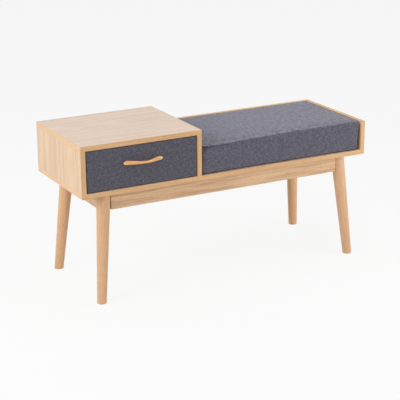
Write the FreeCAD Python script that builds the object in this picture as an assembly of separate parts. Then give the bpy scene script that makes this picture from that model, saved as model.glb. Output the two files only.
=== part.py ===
# A telephone bench: a drawer box at one end, a cushioned seat at the other, on four splayed legs.
# Millimetres, +Z up, the drawer opens towards -Y. The origin is on the floor, at the middle of the
# bench's footprint: halfway between its ends, and halfway from the handle to the rear feet.
import FreeCAD, Part
import math
import os

Vector = FreeCAD.Vector

# Overall sizes
bench_length = 1000.0
bench_depth = 342.0
board = 15.0                    # thickness of every carcass board
floor_clearance = 335.0         # floor to the underside of the base board
drawer_box_width = 398.0        # outside width of the drawer box
drawer_bay_height = 130.0       # base board to top board
seat_side_height = 95.0         # how far the end panel and the rail stand above the base board
edge_band = 1.0                 # thickness of the glued edge strips

# Legs and their frame
leg_top_diameter = 43.0
leg_foot_diameter = 29.0
leg_end_inset = 83.0            # bench end to the leg's axis, at the leg's top
leg_face_inset = 33.0           # bench front or back to the leg's axis, at the leg's top
leg_splay_sideways = 5.0        # degrees
leg_splay_forward = 5.2         # degrees
leg_flat = 17.0                 # leg's axis to the flats milled for the aprons
foot_round = 1.5
apron_height = 50.0
apron_thickness = 15.0
apron_face_inset = 17.0         # bench front or back to the long apron's outer face
apron_end_inset = 67.0          # bench end to the short apron's outer face

# Corner brackets and hanger bolts
bracket_thickness = 2.0
bracket_height = 40.0
bracket_drop = 5.0              # base board to the bracket's top edge
bracket_reach = 45.0            # apron corner to the foot of the diagonal
bracket_ear = 26.0
bolt_diameter = 6.0
bolt_in_leg = 22.0
bolt_beyond_nut = 3.0
nut_width = 10.0                # across the flats
nut_height = 5.0
washer_diameter = 18.0
washer_thickness = 1.6

# Screws, dowels and cams
screw_diameter = 3.5
screw_head_diameter = 7.0
short_screw_length = 13.0
bracket_screw_head = 2.0
runner_screw_head = 0.8
apron_screw_length = 40.0
apron_screw_pilot = 10.0        # how far it enters the base board
apron_screw_end_inset = 90.0    # leg flat to the first screw of a long apron
apron_counterbore = 9.0
carcass_screw_diameter = 5.0
carcass_screw_neck = 7.0
carcass_screw_head = 10.0
carcass_screw_head_height = 3.0
carcass_screw_length = 50.0
fixing_inset = 50.0             # bench front or back to the screws and cams
rail_screw_inset = 90.0
dowel_diameter = 8.0
dowel_length = 30.0
dowel_in_face = 9.0             # how far a dowel enters a board's face
dowel_inset = 70.0              # bench front or back to the dowels
rail_dowel_inset = 40.0
rail_dowel_edge = 28.0          # rail's top or bottom edge to the dowels in its ends
cam_diameter = 15.0
cam_thickness = 12.0
cam_drop = 24.0                 # top of the side panel to the cam's axis
cam_bolt_diameter = 6.0
cam_bolt_hole = 8.0
cam_bolt_head = 7.2
cam_bolt_head_height = 3.0
cam_thread_diameter = 5.0
cam_thread_length = 10.0
cam_slot = 7.6

# Drawer bay back
back_panel = 3.0
back_panel_inset = 8.0          # rear edges to the panel
groove_depth = 5.0

# Drawer
front_gap = 3.0                 # around the drawer front
front_board = 15.0
fabric = 1.5
fabric_round = 3.0
fabric_return = 22.0            # how far the fabric is folded over the back of the board
drawer_board = 12.0
drawer_back_room = 13.0         # drawer's back to the panel behind it
drawer_side_height = 90.0
drawer_lift = 12.0              # base board to the drawer sides
drawer_bottom = 3.0
bottom_lift = 12.0              # lower edge of the sides to the bottom panel
box_screw_length = 32.0
box_screw_edge = 20.0           # top edge of the drawer side to the upper corner screws
box_screw_pitch = 38.0
front_screw_length = 25.0
front_screw_inset = 45.0

# Roller runners
runner_space = 12.5             # side panel to drawer side
runner_steel = 1.2
runner_start = 20.0             # bench front to the runner's front end
runner_rise = 8.0               # base board to the runner
runner_flange = 9.1             # how far the fixed runner's lips stand off its web
runner_lip_gap = 1.2            # drawer runner to the lip above it
roller_diameter = 16.0
roller_width = 5.4
roller_gap = 0.2                # roller to the track it runs on
roller_end_inset = 12.0         # runner's end to the roller's axis
roller_offset = 3.4             # side panel to the roller
pin_diameter = 4.0
pin_shoulder = 6.5
pin_head_height = 0.6
runner_screw_inset = 60.0       # end of a drawer runner to its screws
runner_screw_offset = 20.0      # carcass dowels to the screws of a fixed runner

# Handle
handle_length = 130.0
handle_above_base = 93.0        # underside of the base board to the handle's middle line
handle_lobe_height = 12.8
handle_waist_height = 7.8
handle_lobe_depth = 9.6
handle_waist_depth = 7.4
handle_stand = 3.4              # drawer front to the middle line of the lobes
handle_bow = 18.0               # how much further out the middle stands
handle_lobe_start = 0.80        # share of the half length at which the lobes lie flat
handle_bow_power = 1.5          # how full the bow is between the lobes
handle_tip_start = 0.80         # share of the half length at which the tips begin to round
handle_end_share = 0.985        # share of the half length at which its last outline stands
handle_sections = 21
handle_screw_diameter = 4.0
handle_screw_grip = 5.0         # how far the screw enters the handle
handle_screw_place = 0.80       # share of the half length

# Seat cushion
cushion_side_gap = 1.5
cushion_back_gap = 2.0
cushion_front_set = 2.0         # bench front to the cushion's front
cushion_ridge = 96.0            # base board to the top edges
cushion_crown = 3.0             # rise of the middle above those edges
cushion_end_crown = 0.6         # the same at the two ends
cushion_end_share = 0.85        # share of the end rounding taken up at the end faces
cushion_top_round = 10.0
cushion_bottom_round = 7.0
cushion_end_round = 16.0
cushion_draw_in = 5.0           # how far the front is pulled in between its corners
cushion_side_belly = 1.0        # swell of the front and back between their seams
cushion_cloth = 1.2
cushion_end_steps = 5           # outlines that round each end
cushion_span_steps = 4          # outlines from there to the middle
cushion_span_power = 1.5        # how fast those outlines move apart

# Clearances
seat_gap = 0.3                  # a soft piece to what it lies on
fit = 0.05                      # fastener to hole, on the radius
running_fit = 0.08              # roller to pin, on the radius
hole_end = 1.0                  # free depth past a fastener's end

# Places that follow from the sizes
foot_reach = (
    leg_foot_diameter / 2
    + floor_clearance * math.tan(math.radians(leg_splay_forward))
    - leg_face_inset
)
handle_reach = handle_stand + handle_bow + handle_waist_depth / 2
x_left = -bench_length / 2
x_right = bench_length / 2
y_front = (handle_reach - foot_reach - bench_depth) / 2
y_back = y_front + bench_depth
y_middle = (y_front + y_back) / 2
z_base = floor_clearance
z_deck = z_base + board
z_bay_top = z_deck + drawer_bay_height
z_top = z_bay_top + board
z_seat_top = z_deck + seat_side_height
x_bay_left = x_left + board
x_seat_left = x_left + drawer_box_width
x_bay_right = x_seat_left - board
x_seat_right = x_right - board
y_rail = y_back - board
drawer_length = (bench_depth - 2 * fabric - front_board - drawer_back_room - back_panel
                 - back_panel_inset)
runner_length = drawer_length
bay_middle = (x_bay_left + x_bay_right) / 2

along_x = Vector(1, 0, 0)
along_y = Vector(0, 1, 0)
up = Vector(0, 0, 1)
down = Vector(0, 0, -1)


def write_node(name, solids):
    """Write one solid, or a group of separate solids, as the named piece."""
    shape = solids[0] if len(solids) == 1 else Part.makeCompound(solids)
    shape.exportStep(os.path.join("parts", name + ".step"))


def block(x0, x1, y0, y1, z0, z1):
    """A box between two values on each axis."""
    return Part.makeBox(x1 - x0, y1 - y0, z1 - z0, Vector(x0, y0, z0))


def turned(profile, start, direction):
    """A body of revolution: (radius, distance) points along a line from start."""
    points = [Vector(radius, 0, distance) for radius, distance in profile]
    outline = Part.makePolygon(points + [points[0]])
    body = Part.Face(outline).revolve(Vector(0, 0, 0), up, 360)
    body.Placement = FreeCAD.Placement(start, FreeCAD.Rotation(up, direction))
    return body


def stepped_rod(steps, start, direction, growth=0.0):
    """Cylinders end to end, each a (diameter, length); growth widens every radius."""
    profile = [(0, 0)]
    reached = 0.0
    for diameter, length in steps:
        radius = diameter / 2 + growth
        profile.append((radius, reached))
        reached += length
        profile.append((radius, reached))
    profile.append((0, reached))
    return turned(profile, start, direction)


def fastener(steps, start, direction):
    """A rod-like fastener, and the hole it needs, a little wider and deeper."""
    solid = stepped_rod(steps, start, direction)
    end_diameter, end_length = steps[-1]
    hole_steps = steps[:-1] + [(end_diameter, end_length + hole_end)]
    hole = stepped_rod(hole_steps, start, direction, fit)
    return solid, hole


def drilled(solid, holes):
    """A piece with a list of holes taken out."""
    return solid.cut(Part.makeCompound(holes)).Solids[0]


def banded_board(x0, x1, y0, y1, z0, z1, banded_sides):
    """A board shrunk by its edge strips, and those strips, in the order they are glued on."""
    strips = []
    for side in banded_sides:
        if side == "front":
            strips.append(block(x0, x1, y0, y0 + edge_band, z0, z1))
            y0 += edge_band
        elif side == "back":
            strips.append(block(x0, x1, y1 - edge_band, y1, z0, z1))
            y1 -= edge_band
        elif side == "left":
            strips.append(block(x0, x0 + edge_band, y0, y1, z0, z1))
            x0 += edge_band
        elif side == "right":
            strips.append(block(x1 - edge_band, x1, y0, y1, z0, z1))
            x1 -= edge_band
        elif side == "top":
            strips.append(block(x0, x1, y0, y1, z1 - edge_band, z1))
            z1 -= edge_band
    return block(x0, x1, y0, y1, z0, z1), strips


def mirrored_ends(solid):
    """The same piece at the other end of the bench."""
    return solid.mirror(Vector(0, 0, 0), along_x)


def mirrored_back(solid):
    """The same piece at the back of the bench."""
    return solid.mirror(Vector(0, y_middle, 0), along_y)


def at_four_corners(solid):
    """A front left piece at all four corners: front left, front right, back left, back right."""
    return [solid, mirrored_ends(solid), mirrored_back(solid), mirrored_back(mirrored_ends(solid))]


os.makedirs("parts", exist_ok=True)

# Carcass fixings. Screws come up through the base board into the uprights and the rail. Dowels
# line the boards up. Cams in the uprights pull down bolts that hang from the top board.
x_left_upright = x_left + board / 2
x_divider = x_seat_left - board / 2
x_end_upright = x_right - board / 2
y_rail_middle = y_back - board / 2
fixing_rows = [y_front + fixing_inset, y_back - fixing_inset]
dowel_rows = [y_front + dowel_inset, y_back - dowel_inset]
rail_columns = [x_seat_left + rail_screw_inset, (x_seat_left + x_seat_right) / 2,
                x_seat_right - rail_screw_inset]
rail_dowel_columns = [x_seat_left + rail_dowel_inset, x_seat_right - rail_dowel_inset]

carcass_screw_steps = [
    (carcass_screw_head, carcass_screw_head_height),
    (carcass_screw_neck, board - carcass_screw_head_height),
    (carcass_screw_diameter, carcass_screw_length - board),
]
carcass_screw_places = [
    Vector(x, y, z_base) for x in (x_left_upright, x_divider, x_end_upright) for y in fixing_rows
] + [Vector(x, y_rail_middle, z_base) for x in rail_columns]

dowel_steps = [(dowel_diameter, dowel_length)]
dowel_places = [
    (Vector(x, y, z_deck - dowel_in_face), up)
    for x in (x_left_upright, x_divider, x_end_upright) for y in dowel_rows
] + [
    (Vector(x, y, z_bay_top + dowel_in_face), down)
    for x in (x_left_upright, x_divider) for y in dowel_rows
] + [
    (Vector(x, y_rail_middle, z_deck - dowel_in_face), up) for x in rail_dowel_columns
] + [
    (Vector(x_seat_left - dowel_in_face, y_rail_middle, z), along_x)
    for z in (z_deck + rail_dowel_edge, z_seat_top - rail_dowel_edge)
] + [
    (Vector(x_seat_right + dowel_in_face, y_rail_middle, z), along_x.negative())
    for z in (z_deck + rail_dowel_edge, z_seat_top - rail_dowel_edge)
]

carcass_screws = []
wooden_dowels = []
carcass_holes = []
for place in carcass_screw_places:
    screw, hole = fastener(carcass_screw_steps, place, up)
    carcass_screws.append(screw)
    carcass_holes.append(hole)
for place, direction in dowel_places:
    dowel, hole = fastener(dowel_steps, place, direction)
    wooden_dowels.append(dowel)
    carcass_holes.append(hole)

cam_bolt_reach = cam_drop + cam_bolt_head_height / 2
cam_bolt_steps = [
    (cam_thread_diameter, cam_thread_length),
    (cam_bolt_diameter, cam_bolt_reach - cam_bolt_head_height),
    (cam_bolt_head, cam_bolt_head_height),
]
cam_bolts = []
cam_locks = []
cam_z = z_bay_top - cam_drop
# Both uprights have their cams on the side of the drawer bay.
for x_upright, x_face, inward in (
    (x_left_upright, x_bay_left, along_x.negative()),
    (x_divider, x_bay_right, along_x),
):
    for y in fixing_rows:
        bolt_start = Vector(x_upright, y, z_bay_top + cam_thread_length)
        cam_bolts.append(stepped_rod(cam_bolt_steps, bolt_start, down))
        carcass_holes.append(
            stepped_rod([(cam_thread_diameter, cam_thread_length)], bolt_start, down, fit)
        )
        carcass_holes.append(
            stepped_rod([(cam_bolt_hole, cam_drop)], Vector(x_upright, y, z_bay_top), down)
        )
        cam_start = Vector(x_face, y, cam_z)
        cam, cam_hole = fastener([(cam_diameter, cam_thickness)], cam_start, inward)
        slot = block(x_upright - cam_slot / 2, x_upright + cam_slot / 2,
                     y - cam_slot / 2, y + cam_slot / 2,
                     cam_z - cam_slot / 2, cam_z + cam_diameter)
        cam_locks.append(cam.cut(slot).Solids[0])
        carcass_holes.append(cam_hole)

write_node("carcass_screws", carcass_screws)
write_node("wooden_dowels", wooden_dowels)
write_node("cam_bolts", cam_bolts)
write_node("cam_locks", cam_locks)

# Drawer bay back: a thin panel let into grooves in the four boards around it.
back_low = y_back - back_panel_inset - back_panel
back_high = y_back - back_panel_inset
back_sheet = block(
    x_bay_left - groove_depth + hole_end / 2, x_bay_right + groove_depth - hole_end / 2,
    back_low, back_high,
    z_deck - groove_depth + hole_end / 2, z_bay_top + groove_depth - hole_end / 2)
carcass_holes.append(block(
    x_bay_left - groove_depth, x_bay_right + groove_depth, back_low, back_high,
    z_deck - groove_depth, z_bay_top + groove_depth))
write_node("drawer_bay_back", [back_sheet])

# Aprons: four rails under the base board, between the flats on the legs. The screws that hold
# them to the base board come up from counterbores in their lower edges.
z_apron = z_base - apron_height
x_leg = x_left + leg_end_inset
y_leg = y_front + leg_face_inset
x_apron_end = x_leg + leg_flat
y_apron_end = y_leg + leg_flat
y_apron_face = y_front + apron_face_inset
x_apron_face = x_left + apron_end_inset
front_apron = block(x_apron_end, -x_apron_end, y_apron_face, y_apron_face + apron_thickness,
                    z_apron, z_base)
left_apron = block(x_apron_face, x_apron_face + apron_thickness,
                   y_apron_end, 2 * y_middle - y_apron_end, z_apron, z_base)

counterbore_depth = apron_height + apron_screw_pilot - apron_screw_length
x_first_screw = x_apron_end + apron_screw_end_inset
apron_screw_places = [
    Vector(x, y, z_apron)
    for x in (x_first_screw, 0, -x_first_screw)
    for y in (y_apron_face + apron_thickness / 2, 2 * y_middle - y_apron_face - apron_thickness / 2)
] + [
    Vector(x, y_middle, z_apron)
    for x in (x_apron_face + apron_thickness / 2, -x_apron_face - apron_thickness / 2)
]
apron_screw_steps = [
    (screw_head_diameter, bracket_screw_head),
    (screw_diameter, apron_screw_length - bracket_screw_head),
]
apron_screws = []
apron_holes = []
for place in apron_screw_places:
    head = place + up * counterbore_depth
    screw, hole = fastener(apron_screw_steps, head, up)
    apron_screws.append(screw)
    apron_holes.append(hole)
    apron_holes.append(stepped_rod([(apron_counterbore, counterbore_depth)], place, up))
write_node("apron_screws", apron_screws)

# Legs: turned tapers that lean out both ways, cut level at the top and at the floor.
lean = Vector(-math.tan(math.radians(leg_splay_sideways)),
              -math.tan(math.radians(leg_splay_forward)), -1)
leg_run = lean.Length * floor_clearance
lean.normalize()
leg_spare = leg_top_diameter
taper = (leg_top_diameter - leg_foot_diameter) / 2 / leg_run
leg_top = Vector(x_leg, y_leg, z_base)
leg_cone = Part.makeCone(
    leg_top_diameter / 2 + taper * leg_spare, leg_foot_diameter / 2 - taper * leg_spare,
    leg_run + 2 * leg_spare, leg_top - lean * leg_spare, lean)
leg_room = block(x_leg - bench_depth, x_leg + bench_depth, y_leg - bench_depth,
                 y_leg + bench_depth, 0, z_base)
leg = leg_cone.common(leg_room).Solids[0]
foot_edges = [edge for edge in leg.Edges if edge.BoundBox.ZMax < foot_round]
leg = leg.makeFillet(foot_round, foot_edges)
leg = leg.cut(block(x_apron_end, x_leg + leg_top_diameter, y_leg - leg_top_diameter,
                    y_leg + leg_top_diameter, z_apron, z_base))
leg = leg.cut(block(x_leg - leg_top_diameter, x_leg + leg_top_diameter, y_apron_end,
                    y_leg + leg_top_diameter, z_apron, z_base))

# Corner brackets: bent plates across the inner corners of the aprons. A hanger bolt runs from
# the leg through each plate, and its nut and washer draw the leg into the corner.
x_corner = x_apron_face + apron_thickness
y_corner = y_apron_face + apron_thickness
bend = bracket_thickness * math.tan(math.radians(22.5))
bracket_outline = Part.makePolygon([
    Vector(x_corner + bracket_reach + bracket_ear, y_corner, 0),
    Vector(x_corner + bracket_reach, y_corner, 0),
    Vector(x_corner, y_corner + bracket_reach, 0),
    Vector(x_corner, y_corner + bracket_reach + bracket_ear, 0),
    Vector(x_corner + bracket_thickness, y_corner + bracket_reach + bracket_ear, 0),
    Vector(x_corner + bracket_thickness, y_corner + bracket_reach + bend, 0),
    Vector(x_corner + bracket_reach + bend, y_corner + bracket_thickness, 0),
    Vector(x_corner + bracket_reach + bracket_ear, y_corner + bracket_thickness, 0),
    Vector(x_corner + bracket_reach + bracket_ear, y_corner, 0),
])
bracket = Part.Face(bracket_outline).extrude(up * bracket_height)
bracket.translate(up * (z_base - bracket_drop - bracket_height))

z_bolt = z_base - bracket_drop - bracket_height / 2
into_bench = Vector(1, 1, 0).normalize()
drop_to_bolt = (z_base - z_bolt) / abs(lean.z)
leg_axis_at_bolt = leg_top + lean * drop_to_bolt
plate_middle = Vector(x_corner + bracket_reach / 2, y_corner + bracket_reach / 2, z_bolt)
leg_radius_at_bolt = leg_top_diameter / 2 - taper * drop_to_bolt
axis_to_plate = (plate_middle - leg_axis_at_bolt).dot(into_bench)
bolt_start = plate_middle - into_bench * (axis_to_plate - leg_radius_at_bolt + bolt_in_leg)
bolt_length = (axis_to_plate - leg_radius_at_bolt + bolt_in_leg + bracket_thickness
               + washer_thickness + nut_height + bolt_beyond_nut)
hanger_bolt = stepped_rod([(bolt_diameter, bolt_length)], bolt_start, into_bench)
bolt_hole = stepped_rod([(bolt_diameter, bolt_length)],
                        bolt_start - into_bench * hole_end, into_bench, fit)
washer_start = plate_middle + into_bench * bracket_thickness
nut_start = washer_start + into_bench * washer_thickness
washer = stepped_rod([(washer_diameter, washer_thickness)], washer_start, into_bench)
nut_corner = Vector(nut_width / 2, nut_width / 2 * math.tan(math.radians(30)), 0)
nut_outline = Part.makePolygon([
    FreeCAD.Rotation(up, 60 * corner).multVec(nut_corner) for corner in range(7)
])
nut = Part.Face(nut_outline).extrude(up * nut_height)
nut.Placement = FreeCAD.Placement(nut_start, FreeCAD.Rotation(up, into_bench))
bracket = bracket.cut(bolt_hole)
washer = washer.cut(bolt_hole)
nut = nut.cut(bolt_hole)
leg = leg.cut(bolt_hole).Solids[0]

bracket_screw_steps = [
    (screw_head_diameter, bracket_screw_head),
    (screw_diameter, short_screw_length - bracket_screw_head),
]
ear_middle = bracket_reach + bracket_ear / 2 + bend
bracket_screws = []
bracket_holes = []
for step in (-1, 1):
    z = z_bolt + step * bracket_height / 4
    for place, direction in (
        (Vector(x_corner + ear_middle, y_corner + bracket_thickness + bracket_screw_head, z),
         along_y.negative()),
        (Vector(x_corner + bracket_thickness + bracket_screw_head, y_corner + ear_middle, z),
         along_x.negative()),
    ):
        screw, hole = fastener(bracket_screw_steps, place, direction)
        bracket_screws += at_four_corners(screw)
        bracket_holes.append(hole)
bracket = drilled(bracket, bracket_holes)
for hole in bracket_holes:
    apron_holes += at_four_corners(hole)

for corner_name, corner_leg in zip(("front_left", "front_right", "back_left", "back_right"),
                                   at_four_corners(leg)):
    write_node("leg_" + corner_name, [corner_leg])
write_node("corner_brackets", at_four_corners(bracket))
write_node("hanger_bolts", at_four_corners(hanger_bolt))
write_node("hanger_washers", at_four_corners(washer))
write_node("hanger_nuts", at_four_corners(nut))
write_node("bracket_screws", bracket_screws)
write_node("front_apron", [drilled(front_apron, apron_holes)])
write_node("back_apron", [drilled(mirrored_back(front_apron), apron_holes)])
write_node("left_apron", [drilled(left_apron, apron_holes)])
write_node("right_apron", [drilled(mirrored_ends(left_apron), apron_holes)])

# Fixed runners: rolled steel channels screwed to the sides of the drawer bay, each with a nylon
# roller on a riveted pin at its front end. The left one is made, and the right one mirrors it.
y_runner = y_front + runner_start
z_runner = z_deck + runner_rise
z_track = z_runner + runner_steel
roller_radius = roller_diameter / 2
z_rear_roller = z_track + roller_gap + roller_radius
z_drawer_flange = z_rear_roller + roller_radius + 2 * roller_gap
z_front_roller = z_drawer_flange - roller_gap - roller_radius
z_runner_top = z_drawer_flange + runner_steel + runner_lip_gap
y_front_roller = y_runner + roller_end_inset
x_web = x_bay_left + runner_steel
x_flange = x_web + runner_flange
x_roller = x_bay_left + roller_offset

fixed_runner = block(x_bay_left, x_web, y_runner, y_runner + runner_length, z_runner,
                     z_runner_top + runner_steel)
fixed_runner = fixed_runner.fuse(
    block(x_web, x_flange, y_runner, y_runner + runner_length, z_runner, z_track))
fixed_runner = fixed_runner.fuse(
    block(x_web, x_flange, y_runner, y_runner + runner_length, z_runner_top,
          z_runner_top + runner_steel)).removeSplitter()

front_pin_start = Vector(x_bay_left, y_front_roller, z_front_roller)
pin_rivet = (pin_diameter, runner_steel)
pin_collar = (pin_shoulder, roller_offset - runner_steel - running_fit)
pin_journal = (pin_diameter, roller_width + 2 * running_fit)
pin_head = (pin_shoulder, pin_head_height)
front_pin = stepped_rod([pin_rivet, pin_collar, pin_journal, pin_head], front_pin_start, along_x)
roller_body = stepped_rod([(roller_diameter, roller_width)], Vector(x_roller, 0, 0), along_x)
roller_bore = stepped_rod([(pin_diameter, roller_width)], Vector(x_roller, 0, 0), along_x,
                          running_fit)
roller = roller_body.cut(roller_bore).Solids[0]
front_roller = roller.copy()
front_roller.translate(Vector(0, y_front_roller, z_front_roller))

runner_screw_steps = [
    (screw_head_diameter, runner_screw_head),
    (screw_diameter, short_screw_length - runner_screw_head),
]
runner_middle = (z_track + z_drawer_flange) / 2
fixed_runner_holes = [stepped_rod([pin_rivet], front_pin_start, along_x, fit)]
fixed_runner_screws = []
for y in (dowel_rows[0] + runner_screw_offset, dowel_rows[1] - runner_screw_offset):
    screw, hole = fastener(runner_screw_steps,
                           Vector(x_web + runner_screw_head, y, runner_middle),
                           along_x.negative())
    fixed_runner_screws.append(screw)
    fixed_runner_holes.append(hole)
fixed_runner = drilled(fixed_runner, fixed_runner_holes)


def mirrored_bay(solid):
    """The same piece at the other side of the drawer bay."""
    return solid.mirror(Vector(bay_middle, 0, 0), along_x)


carcass_holes += fixed_runner_holes[1:]
carcass_holes += [mirrored_bay(hole) for hole in fixed_runner_holes[1:]]
write_node("left_fixed_runner", [fixed_runner])
write_node("right_fixed_runner", [mirrored_bay(fixed_runner)])
write_node("fixed_runner_pins", [front_pin, mirrored_bay(front_pin)])
write_node("fixed_runner_screws",
           fixed_runner_screws + [mirrored_bay(screw) for screw in fixed_runner_screws])
write_node("left_front_roller", [front_roller])
write_node("right_front_roller", [mirrored_bay(front_roller)])

# Carcass boards with their edge strips. The base board runs under the uprights, and the top
# board lies over the left side panel and the divider.
carcass_boards = [
    ("base_board", (x_left, x_right, y_front, y_back, z_base, z_deck),
     ["front", "back", "left", "right"]),
    ("drawer_top_board", (x_left, x_seat_left, y_front, y_back, z_bay_top, z_top),
     ["front", "back", "left", "right"]),
    ("left_side_panel", (x_left, x_bay_left, y_front, y_back, z_deck, z_bay_top),
     ["front", "back"]),
    ("divider_panel", (x_bay_right, x_seat_left, y_front, y_back, z_deck, z_bay_top),
     ["front", "back"]),
    ("right_end_panel", (x_seat_right, x_right, y_front, y_back, z_deck, z_seat_top),
     ["front", "back", "top"]),
    ("seat_back_rail", (x_seat_left, x_seat_right, y_rail, y_back, z_deck, z_seat_top),
     ["top"]),
]
holes_in_boards = carcass_holes + apron_holes
for name, extent, banded_sides in carcass_boards:
    core, strips = banded_board(*extent, banded_sides)
    write_node(name, [drilled(core, holes_in_boards)])
    write_node(name + "_edges", strips)

# Drawer box: two sides with the inner front and the back between them, screwed at the corners,
# and a thin bottom in grooves that slides in under the back.
x_drawer = x_bay_left + runner_space
x_drawer_right = x_bay_right - runner_space
y_wrapped_back = y_front + 2 * fabric + front_board
y_drawer = y_wrapped_back
y_drawer_back = y_drawer + drawer_length
z_drawer = z_deck + drawer_lift
z_drawer_top = z_drawer + drawer_side_height
z_bottom = z_drawer + bottom_lift
x_inside = x_drawer + drawer_board
x_inside_right = x_drawer_right - drawer_board
drawer_groove = drawer_board / 2
panel_play = hole_end / 2

bottom_groove = block(x_inside - drawer_groove, x_inside_right + drawer_groove,
                      y_drawer + drawer_board - drawer_groove, y_drawer_back,
                      z_bottom, z_bottom + drawer_bottom)
bottom_panel = block(x_inside - drawer_groove + panel_play, x_inside_right + drawer_groove - panel_play,
                     y_drawer + drawer_board - drawer_groove + panel_play, y_drawer_back,
                     z_bottom, z_bottom + drawer_bottom)
drawer_side = block(x_drawer, x_inside, y_drawer, y_drawer_back, z_drawer, z_drawer_top)
inner_front = block(x_inside, x_inside_right, y_drawer, y_drawer + drawer_board,
                    z_drawer, z_drawer_top)
drawer_back = block(x_inside, x_inside_right, y_drawer_back - drawer_board, y_drawer_back,
                    z_bottom + drawer_bottom, z_drawer_top)

box_screw_steps = [
    (screw_head_diameter, bracket_screw_head),
    (screw_diameter, box_screw_length - bracket_screw_head),
]
z_upper_screw = z_drawer_top - box_screw_edge
drawer_box_screws = []
drawer_holes = [bottom_groove]
for y in (y_drawer + drawer_board / 2, y_drawer_back - drawer_board / 2):
    for z in (z_upper_screw, z_upper_screw - box_screw_pitch):
        screw, hole = fastener(box_screw_steps, Vector(x_drawer, y, z), along_x)
        drawer_box_screws += [screw, mirrored_bay(screw)]
        drawer_holes += [hole, mirrored_bay(hole)]

# Drawer runners: angles under and beside the drawer sides, whose outward flanges roll over the
# front rollers. Each carries a roller at its rear end that runs in the fixed channel.
x_drawer_web = x_drawer - runner_steel
drawer_runner = block(x_drawer_web, x_drawer, y_drawer, y_drawer_back,
                      z_drawer - runner_steel, z_drawer_flange + runner_steel)
drawer_runner = drawer_runner.fuse(
    block(x_roller, x_drawer_web, y_drawer, y_drawer_back, z_drawer_flange,
          z_drawer_flange + runner_steel))
drawer_runner = drawer_runner.fuse(
    block(x_drawer, x_inside, y_drawer, y_drawer_back, z_drawer - runner_steel, z_drawer))
drawer_runner = drawer_runner.removeSplitter()
y_rear_roller = y_drawer_back - roller_end_inset
rear_roller = roller.copy()
rear_roller.translate(Vector(0, y_rear_roller, z_rear_roller))
rear_pin_start = Vector(x_drawer, y_rear_roller, z_rear_roller)
rear_collar = (pin_shoulder, x_drawer_web - x_roller - roller_width - running_fit)
rear_pin = stepped_rod([pin_rivet, rear_collar, pin_journal, pin_head], rear_pin_start,
                       along_x.negative())
drawer_runner_holes = [stepped_rod([pin_rivet], rear_pin_start, along_x.negative(), fit)]
drawer_runner_screw_steps = [
    (screw_head_diameter, runner_screw_head),
    (screw_diameter, drawer_board - runner_screw_head - hole_end),
]
drawer_runner_screws = []
z_drawer_screw = (z_drawer + z_drawer_flange) / 2
for y in (y_drawer + runner_screw_inset, y_drawer_back - runner_screw_inset):
    screw, hole = fastener(drawer_runner_screw_steps,
                           Vector(x_drawer_web - runner_screw_head, y, z_drawer_screw), along_x)
    drawer_runner_screws.append(screw)
    drawer_runner_holes.append(hole)
    drawer_holes += [hole, mirrored_bay(hole)]
drawer_runner = drilled(drawer_runner, drawer_runner_holes)
write_node("left_drawer_runner", [drawer_runner])
write_node("right_drawer_runner", [mirrored_bay(drawer_runner)])
write_node("drawer_runner_pins", [rear_pin, mirrored_bay(rear_pin)])
write_node("drawer_runner_screws",
           drawer_runner_screws + [mirrored_bay(screw) for screw in drawer_runner_screws])
write_node("left_rear_roller", [rear_roller])
write_node("right_rear_roller", [mirrored_bay(rear_roller)])

# Drawer front: a board wrapped in fabric that is folded over its edges and stapled behind. It is
# screwed to the inner front from inside the drawer.
x_front = x_bay_left + front_gap
x_front_right = x_bay_right - front_gap
z_front = z_deck + front_gap
z_front_top = z_bay_top - front_gap
front_core = block(x_front + fabric, x_front_right - fabric, y_front + fabric,
                   y_front + fabric + front_board, z_front + fabric, z_front_top - fabric)
wrap = block(x_front, x_front_right, y_front, y_wrapped_back, z_front, z_front_top)
wrap = wrap.makeFillet(fabric_round, [
    edge for edge in wrap.Edges
    if edge.BoundBox.YMax < y_wrapped_back - fabric or edge.BoundBox.YLength > fabric
])
wrap = wrap.cut(front_core)
back_window = block(x_front + fabric_return, x_front_right - fabric_return,
                    y_wrapped_back - fabric - fabric / 2, y_wrapped_back + fabric,
                    z_front + fabric_return, z_front_top - fabric_return)
wrap = wrap.cut(back_window)

front_screw_start = y_drawer + drawer_board
front_screw_steps = [
    (screw_head_diameter, bracket_screw_head),
    (screw_diameter, front_screw_length - bracket_screw_head),
]
front_screws = []
front_holes = []
for x in (x_inside + front_screw_inset, x_inside_right - front_screw_inset):
    for z in (z_upper_screw, z_upper_screw - box_screw_pitch):
        screw, hole = fastener(front_screw_steps, Vector(x, front_screw_start, z),
                               along_y.negative())
        front_screws.append(screw)
        front_holes.append(hole)

# Handle: a bow shaped from one piece of hardwood, with flat-backed lobes at its ends that two
# machine screws pull against the fabric from inside the drawer.
z_handle = z_base + handle_above_base
half_handle = handle_length / 2


def rounded_tip(share):
    """How much of its full section the handle keeps: 1, then round off towards the tip."""
    beyond = max(0.0, share - handle_tip_start) / (1 - handle_tip_start)
    return math.sqrt(1 - beyond ** 2)


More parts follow.
